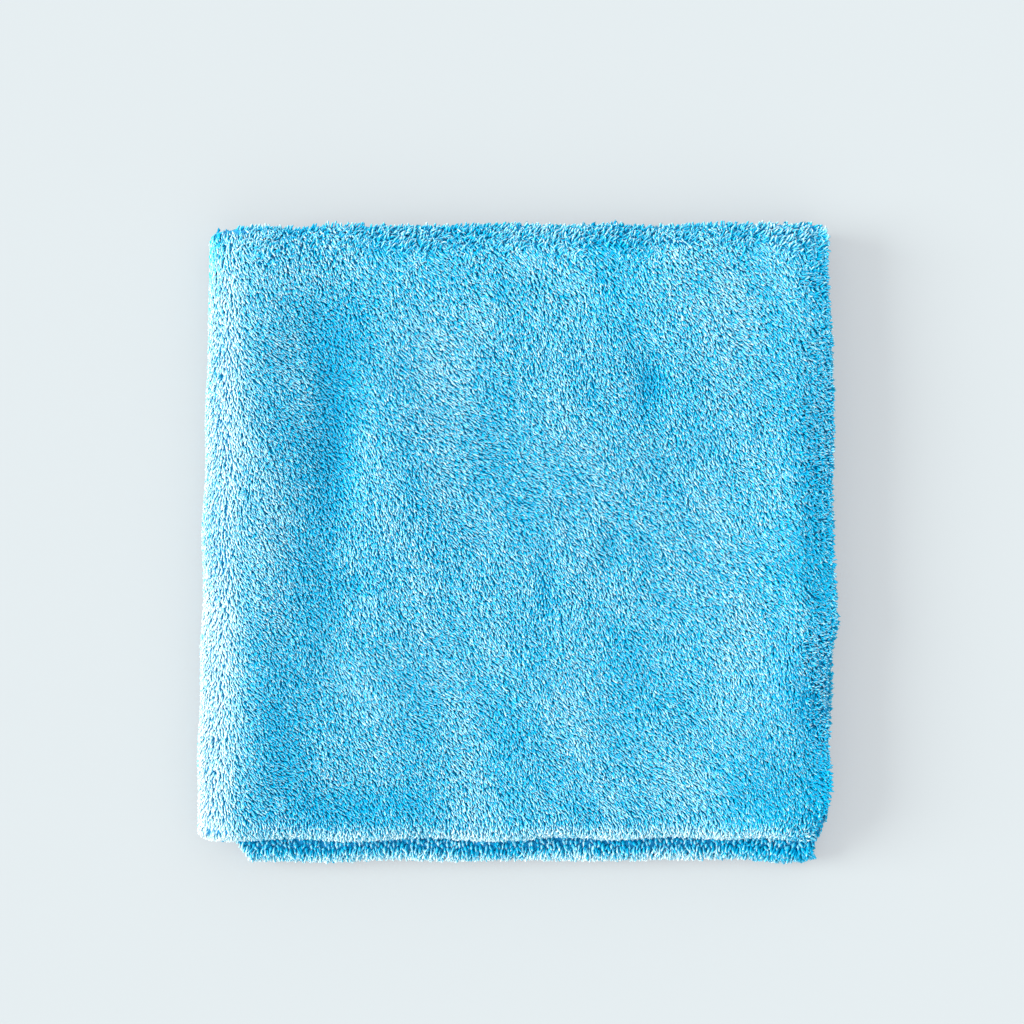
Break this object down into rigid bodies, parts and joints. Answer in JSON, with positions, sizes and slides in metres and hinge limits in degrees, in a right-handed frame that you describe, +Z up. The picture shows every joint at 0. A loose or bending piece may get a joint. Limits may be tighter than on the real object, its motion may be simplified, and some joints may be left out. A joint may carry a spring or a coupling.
{
  "type": "polishing cloth",
  "caption": "Plush microfibre polishing and drying cloth for car detailing, folded in four and lying flat, with a fold that opens like a book.",
  "frame": {"origin": "centre of the folded footprint, on the surface that the cloth lies on", "axes": "+Z up through the four layers, +X from the spine to the free edges, +Y from the front folds to the free edges"},
  "size_m": [0.2, 0.2, 0.0185],
  "materials": {
    "base_knit": "matte knit",
    "face_pile": "soft plush pile",
    "back_pile": "soft plush pile"
  },
  "bodies": {
    "lower_half": {"bottom_quarter_base_knit": "base_knit", "bottom_quarter_face_pile": "face_pile", "bottom_quarter_back_pile": "back_pile", "lower_inner_quarter_base_knit": "base_knit", "lower_inner_quarter_face_pile": "face_pile", "lower_inner_quarter_back_pile": "back_pile", "lower_front_fold_base_knit": "base_knit", "lower_front_fold_face_pile": "face_pile", "lower_front_fold_back_pile": "back_pile", "inner_spine_fold_base_knit": "base_knit", "inner_spine_fold_face_pile": "face_pile", "inner_spine_fold_back_pile": "back_pile", "outer_spine_fold_base_knit": "base_knit", "outer_spine_fold_face_pile": "face_pile", "outer_spine_fold_back_pile": "back_pile", "corner_fold_base_knit": "base_knit", "corner_fold_face_pile": "face_pile", "corner_fold_back_pile": "back_pile"},
    "upper_half": {"upper_inner_quarter_base_knit": "base_knit", "upper_inner_quarter_face_pile": "face_pile", "upper_inner_quarter_back_pile": "back_pile", "top_quarter_base_knit": "base_knit", "top_quarter_face_pile": "face_pile", "top_quarter_back_pile": "back_pile", "upper_front_fold_base_knit": "base_knit", "upper_front_fold_face_pile": "face_pile", "upper_front_fold_back_pile": "back_pile"}
  },
  "joints": [
    {"name": "spine_fold", "type": "hinge", "parent": "lower_half", "child": "upper_half", "pos_m": [-0.09545, 0, 0.00925], "axis": [0, -1, 0], "range_deg": [0, 179.9], "deforming": ["inner_spine_fold_base_knit", "inner_spine_fold_face_pile", "inner_spine_fold_back_pile", "outer_spine_fold_base_knit", "outer_spine_fold_face_pile", "outer_spine_fold_back_pile", "corner_fold_base_knit", "corner_fold_face_pile", "corner_fold_back_pile"]}
  ]
}
